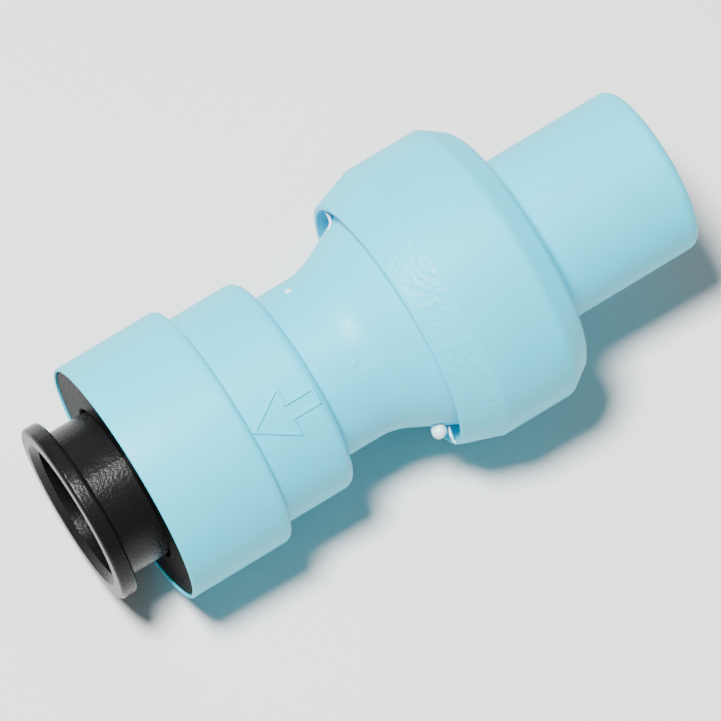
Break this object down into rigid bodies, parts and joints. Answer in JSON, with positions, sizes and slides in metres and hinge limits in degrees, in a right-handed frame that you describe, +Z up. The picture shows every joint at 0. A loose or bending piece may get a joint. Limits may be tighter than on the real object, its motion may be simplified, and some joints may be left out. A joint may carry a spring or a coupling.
{
  "type": "push-fit check valve",
  "caption": "Inline push-fit check valve: a collet socket for a tube at one end, a plain spigot at the other, and a spring-loaded poppet inside.",
  "frame": {"origin": "on the flow axis, halfway along the valve", "axes": "+X along the flow axis towards the spigot (water flows from +X to -X), -X towards the collet, +Z up with the flow arrow on the upper front side"},
  "size_m": [0.057, 0.0254, 0.0254],
  "materials": {
    "shell_plastic": "satin moulded pale blue",
    "weld_plastic": "waxy pale blue weld flash",
    "retainer_plastic": "moulded black",
    "washer_plastic": "natural white",
    "seal_rubber": "moulded nitrile, satin",
    "cartridge_plastic": "natural acetal",
    "spring_steel": "drawn stainless wire",
    "poppet_plastic": "moulded acetal",
    "clip_steel": "pressed stainless",
    "collet_plastic": "glossy moulded black acetal",
    "tooth_steel": "stainless"
  },
  "bodies": {
    "valve_body": {"socket_body": "shell_plastic", "spigot_cap": "shell_plastic", "spigot_stem": "shell_plastic", "weld_flash": "weld_plastic", "collet_retainer": "retainer_plastic", "backing_washer": "washer_plastic", "tube_o_ring": "seal_rubber", "cartridge_housing": "cartridge_plastic", "cartridge_o_ring": "seal_rubber", "valve_guide": "cartridge_plastic", "return_spring": "spring_steel"},
    "release_collet": {"collet": "collet_plastic", "grip_tooth_1": "tooth_steel", "grip_tooth_2": "tooth_steel", "grip_tooth_3": "tooth_steel", "grip_tooth_4": "tooth_steel", "grip_tooth_5": "tooth_steel", "grip_tooth_6": "tooth_steel", "grip_tooth_7": "tooth_steel", "grip_tooth_8": "tooth_steel"},
    "check_poppet": {"poppet": "poppet_plastic", "poppet_seal": "seal_rubber", "seal_retainer": "clip_steel"}
  },
  "joints": [
    {"name": "collet_slide", "type": "slide", "parent": "valve_body", "child": "release_collet", "axis": [1, 0, 0], "range_m": [0, 0.0028]},
    {"name": "poppet_slide", "type": "slide", "parent": "valve_body", "child": "check_poppet", "axis": [-1, 0, 0], "range_m": [0, 0.0025], "stiffness_N_per_m": 100, "springref_m": -0.002, "deforming": ["return_spring"]}
  ]
}
